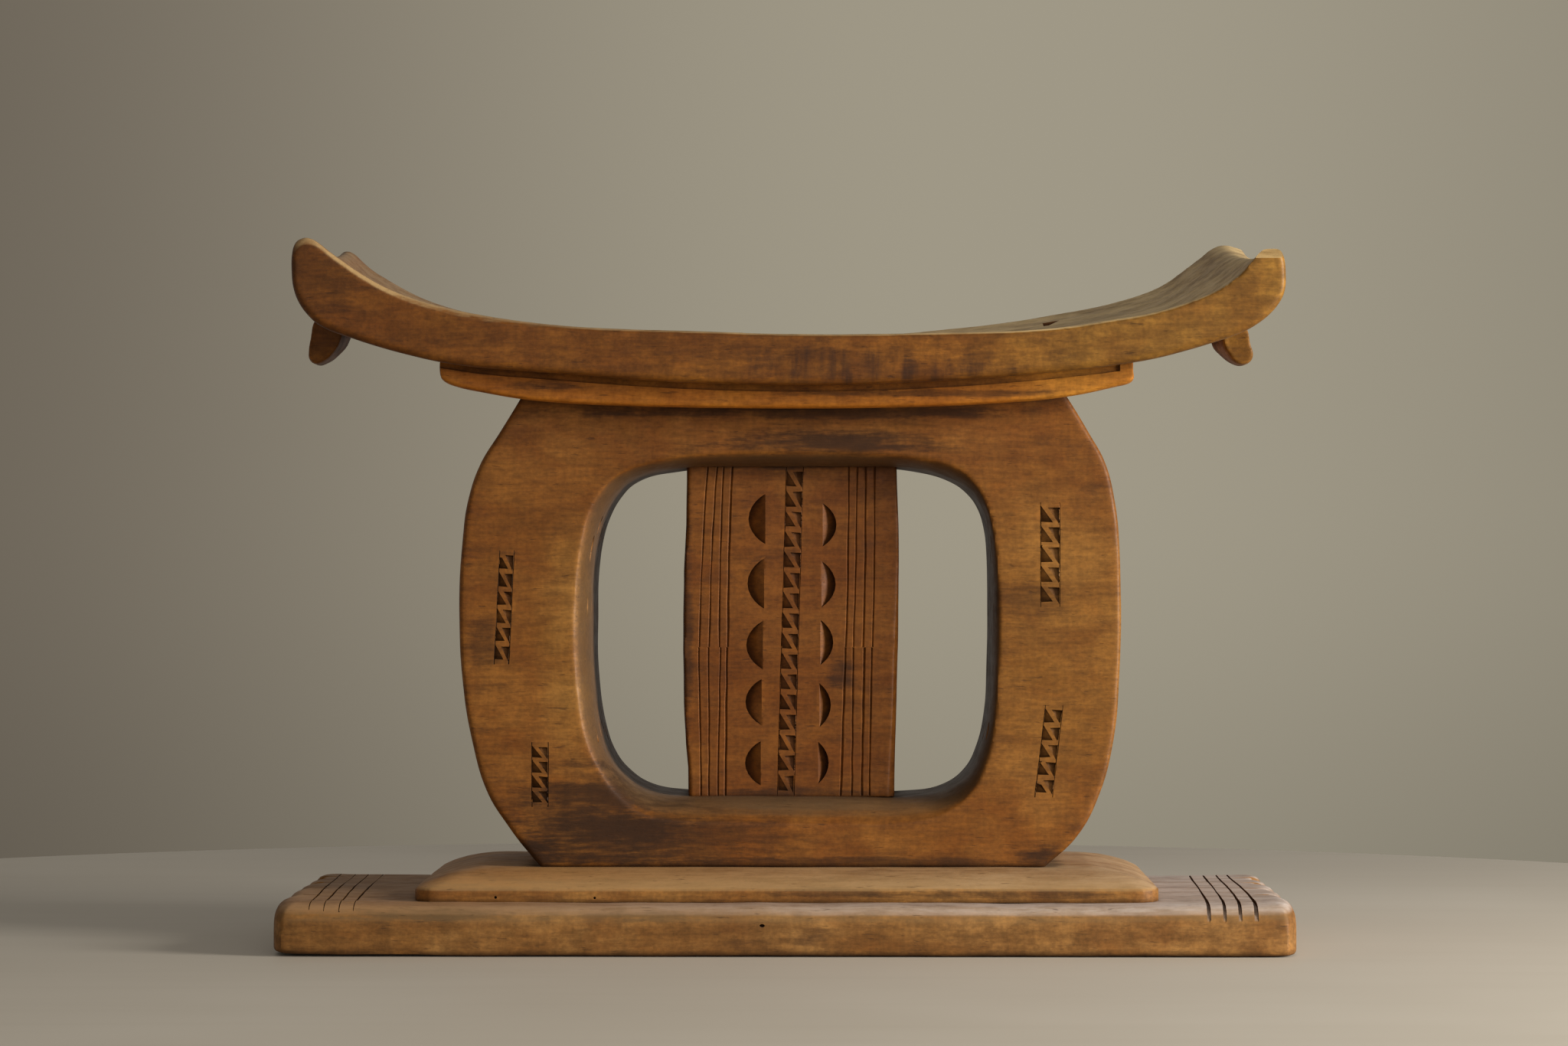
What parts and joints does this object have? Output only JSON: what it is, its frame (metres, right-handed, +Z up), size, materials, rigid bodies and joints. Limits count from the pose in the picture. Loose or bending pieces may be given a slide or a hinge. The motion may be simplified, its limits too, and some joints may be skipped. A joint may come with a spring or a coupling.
{
  "type": "carved wooden stool",
  "caption": "Low carved wooden stool: curved dished seat on an upright ring with a pierced opening and a carved centre panel, standing on a long flat base plank.",
  "frame": {"origin": "on the floor, under the middle of the base plank's box", "axes": "+X along the stool to its right, +Y to its back, +Z up"},
  "size_m": [0.5, 0.23, 0.3596],
  "materials": {
    "plank_wood": "dry, worn, faintly greyed waxed hardwood",
    "ring_wood": "waxed hardwood with a mottled handled patina",
    "seat_wood": "waxed hardwood, satin, darker ripple figure along the front"
  },
  "bodies": {
    "root": {"base_plank": "plank_wood", "plinth": "plank_wood", "ring": "ring_wood", "centre_panel": "ring_wood", "seat_ledge": "seat_wood", "seat": "seat_wood", "left_lug": "seat_wood", "right_lug": "seat_wood"}
  },
  "joints": []
}
